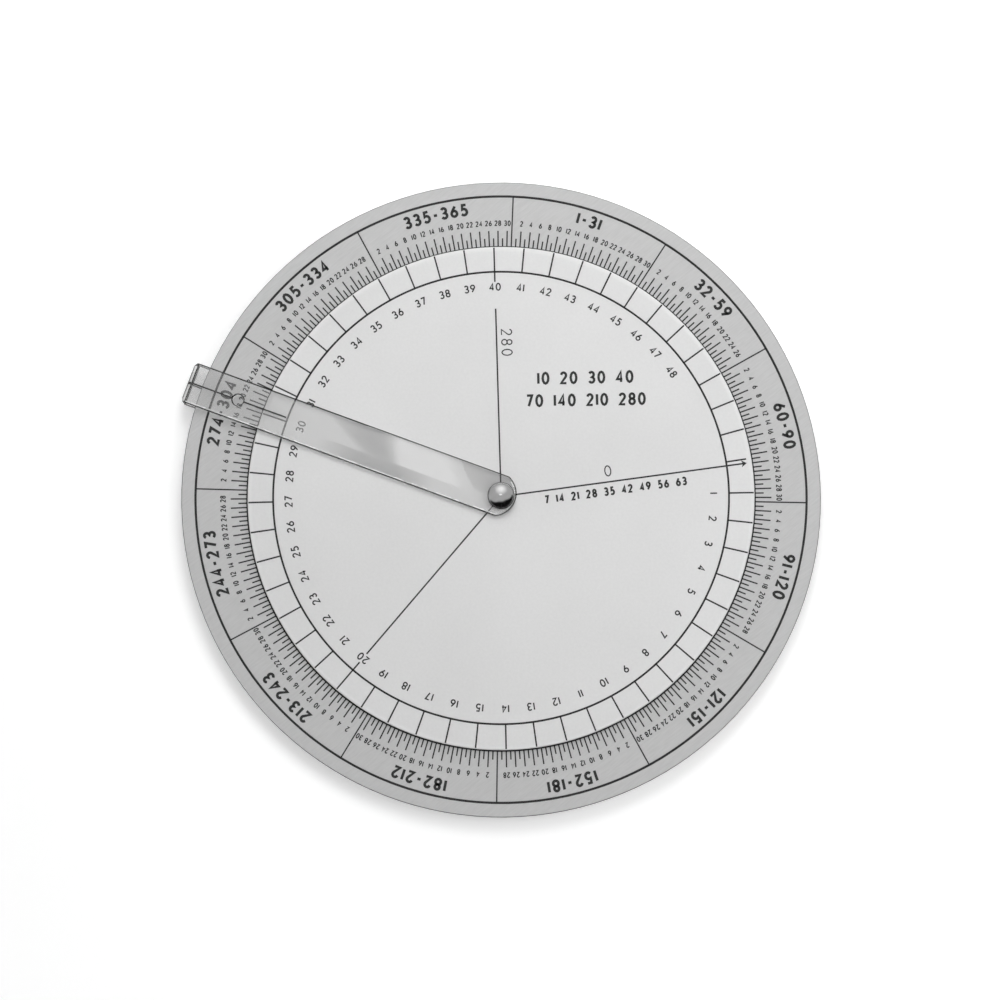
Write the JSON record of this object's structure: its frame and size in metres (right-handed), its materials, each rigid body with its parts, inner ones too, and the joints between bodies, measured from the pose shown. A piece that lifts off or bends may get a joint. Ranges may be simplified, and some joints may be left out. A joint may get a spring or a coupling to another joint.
{
  "type": "due date calculator wheel",
  "caption": "Round due date calculator: an engraved calendar disc, a smaller week disc and a clear folded cursor with a hairline, all turning on a domed rivet.",
  "frame": {"origin": "on the pivot axis, at the flat back of the rivet's head, which the wheel rests on", "axes": "+Z along the pivot axis, out of the face with the scales; +X to the right and +Y to the top of the face as pictured"},
  "size_m": [0.15, 0.15, 0.0077],
  "materials": {
    "calendar_aluminium": "brushed, satin",
    "dial_enamel": "satin off-white enamel",
    "clear_plastic": "clear, polished",
    "post_nickel": "nickel plated",
    "dome_chrome": "polished",
    "slip_plastic": "natural, matt",
    "spring_steel": "blued spring steel",
    "scale_ink": "black filler ink, matt"
  },
  "bodies": {
    "base": {"calendar_disc": "calendar_aluminium", "pivot_post": "post_nickel", "dome_rivet": "dome_chrome", "cursor_slip_washer": "slip_plastic", "dial_slip_washer": "slip_plastic", "back_slip_washer": "slip_plastic", "tension_washer": "spring_steel"},
    "week_dial": {"week_disc": "dial_enamel"},
    "cursor_arm": {"cursor": "clear_plastic"}
  },
  "joints": [
    {"name": "week_dial_spin", "type": "hinge", "parent": "base", "child": "week_dial", "pos_m": [0, 0, 0.00405], "axis": [0, 0, 1], "continuous": true},
    {"name": "cursor_swing", "type": "hinge", "parent": "base", "child": "cursor_arm", "pos_m": [0, 0, 0.0051], "axis": [0, 0, 1], "continuous": true}
  ]
}
